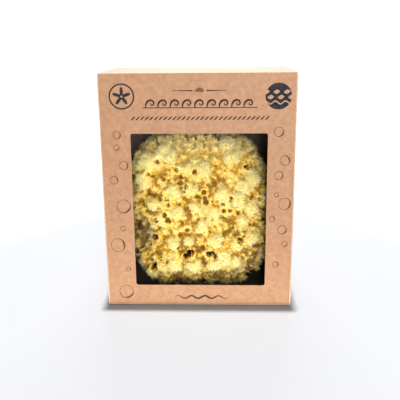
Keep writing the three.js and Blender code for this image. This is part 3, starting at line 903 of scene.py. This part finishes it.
# Tuck flap: the lid's front edge, folded down on a crease and pushed in behind the front panel, leaning
# back a little, with its lower corners rounded so that it slides in.
TUCK_LEAN = np.radians(12)
TUCK_CORNER = 8.0
tuck_low, tuck_high = node_box("tuck_flap")
tuck_half = tuck_high[0]
crease_y, crease_z = lid_low[1] + CREASE, lid_high[2] - CREASE
bend = np.linspace(np.pi / 2, np.pi + TUCK_LEAN, 11)
bend_y, bend_z = crease_y + CREASE * np.cos(bend), crease_z + CREASE * np.sin(bend)
tuck_length = (bend_z[-1] - tuck_low[2]) / np.cos(TUCK_LEAN)
slide = np.append(np.linspace(0, tuck_length - TUCK_CORNER, 8)[1:],
                  tuck_length - TUCK_CORNER * (1 - np.sin(np.linspace(0, np.pi / 2, 13)[1:])))
tuck_y = np.append(bend_y, bend_y[-1] + slide * np.sin(TUCK_LEAN))
tuck_z = np.append(bend_z, bend_z[-1] - slide * np.cos(TUCK_LEAN))
past = np.append(0 * bend, np.maximum(slide - (tuck_length - TUCK_CORNER), 0))
half = tuck_half - (TUCK_CORNER - np.sqrt(TUCK_CORNER ** 2 - past ** 2))
tuck_x = half[:, None] * np.linspace(1, -1, 41)
tuck_wear_and_highlight = np.append(np.sin(np.linspace(0, np.pi, len(bend))), 0 * slide)
tuck_piece = board_sheet("tuck_board", tuck_x, tuck_y[:, None], tuck_z[:, None], fold=tuck_wear_and_highlight[:, None])
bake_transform(tuck_piece)
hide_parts("tuck_flap")

# Floor: a studio sweep of matt paper, flat under the carton and rising on all sides so that no edge shows.
# It is painted greyer round the carton, as painted shade that deepens the carton's contact shadow while the
# overhead light still burns the lit floor white, and paler further out.
SWEEP_FLAT, SWEEP_RADIUS, SWEEP_RISE = 1200.0, 800.0, 1000.0
SWEEP_RINGS, SWEEP_SIDES = [1.0, 300.0], 96  # radii of the flat part's rings, and points round each
FLOOR_NEAR, FLOOR_FAR = 150.0, 450.0
floor_material, tree, shader, place = new_material("matt_paper_sweep")
from_middle = add_node(tree, "VectorMath", {0: place}, output="Value", operation="LENGTH")
fade = add_node(tree, "MapRange", {
    "Value": from_middle, "From Min": FLOOR_NEAR * MM, "From Max": FLOOR_FAR * MM,
})
floor_tone = add_node(tree, "Mix", {0: fade, 6: colour("#a2a3a6"), 7: colour("#cfd1d5")},
                      output=2, data_type="RGBA")
feed(tree, shader, {"Base Color": floor_tone, "Roughness": 0.95})
rise = np.linspace(0, np.pi / 2, 25)
sweep_out = np.append(SWEEP_RINGS, SWEEP_FLAT + SWEEP_RADIUS * np.sin(rise))
sweep_up = np.append(np.zeros(len(SWEEP_RINGS)), SWEEP_RISE * (1 - np.cos(rise)))
around = np.linspace(0, 2 * np.pi, SWEEP_SIDES + 1)[:-1]
floor_points = np.stack([np.outer(sweep_out, np.cos(around)), np.outer(sweep_out, np.sin(around)),
                         np.outer(sweep_up, np.ones(SWEEP_SIDES))], axis=-1)
floor_faces = grid_faces(len(sweep_out), SWEEP_SIDES, ring=True).tolist() + [list(range(SWEEP_SIDES))]
floor = make_piece("floor_sweep", floor_points, floor_faces, [floor_material])

# Light: a small lamp high behind the carton, which leaves the front's foot in shadow, a fill from the
# front, a card lying before it that throws light up, and a soft light that grazes the lid from the rear.
world = bpy.data.worlds.new("white_studio")
world.use_nodes = True
feed(world.node_tree, world.node_tree.nodes["Background"], {"Color": colour("#f6f8ff"), "Strength": 0.1})
bpy.context.scene.world = world
bpy.context.scene.view_settings.view_transform = "Standard"


def soft_box(name, place, aim, width, depth, watts):
    """A soft light of a width and depth at a place in millimetres, turned towards its aim."""
    light = bpy.data.lights.new(name, "AREA")
    light.shape = "RECTANGLE"
    light.size = width * MM
    light.size_y = depth * MM
    light.energy = watts
    lamp = bpy.data.objects.new(name, light)
    lamp.location = Vector(place) * MM
    lamp.visible_camera = False
    lamp.rotation_euler = (Vector(aim) - Vector(place)).to_track_quat("-Z", "Y").to_euler()
    bpy.context.scene.collection.objects.link(lamp)


soft_box("overhead_box", (0, 120, 3000), (0, 120, 60), 100, 100, 160)
soft_box("front_fill", (150, -900, 230), (0, 0, 60), 300, 300, 6.0)
soft_box("bounce_card", (-10, -84, 1), (-10, -84, 100), 160, 102, 0.1)
soft_box("rear_box", (0, 800, 600), (0, 0, 128), 500, 250, 5)

# Camera: the photograph's viewpoint, a little above the carton and looking down at its front. It was
# fitted to the front panel's corners and to the strip of lid above them.
CAMERA_PLACE = (11.1, -329.4, 143.9)
CAMERA_LENS, CAMERA_FILM = 52.1, 36.0
PITCH, YAW, ROLL = np.radians([15.45, -1.95, 0.51])
forward = np.array([np.sin(YAW) * np.cos(PITCH), np.cos(YAW) * np.cos(PITCH), -np.sin(PITCH)])
level_right = np.array([np.cos(YAW), -np.sin(YAW), 0.0])
level_down = np.cross(forward, level_right)
right = np.cos(ROLL) * level_right + np.sin(ROLL) * level_down
down = np.cross(forward, right)
camera = bpy.data.objects.new("camera", bpy.data.cameras.new("camera"))
camera.data.lens = CAMERA_LENS
camera.data.sensor_width = CAMERA_FILM
camera.data.clip_start = 10 * MM
axes = np.eye(4)
axes[:3] = np.stack([right, -down, -forward, np.array(CAMERA_PLACE) * MM], axis=1)
camera.matrix_world = Matrix(axes.tolist())
bpy.context.scene.collection.objects.link(camera)
bpy.context.scene.camera = camera
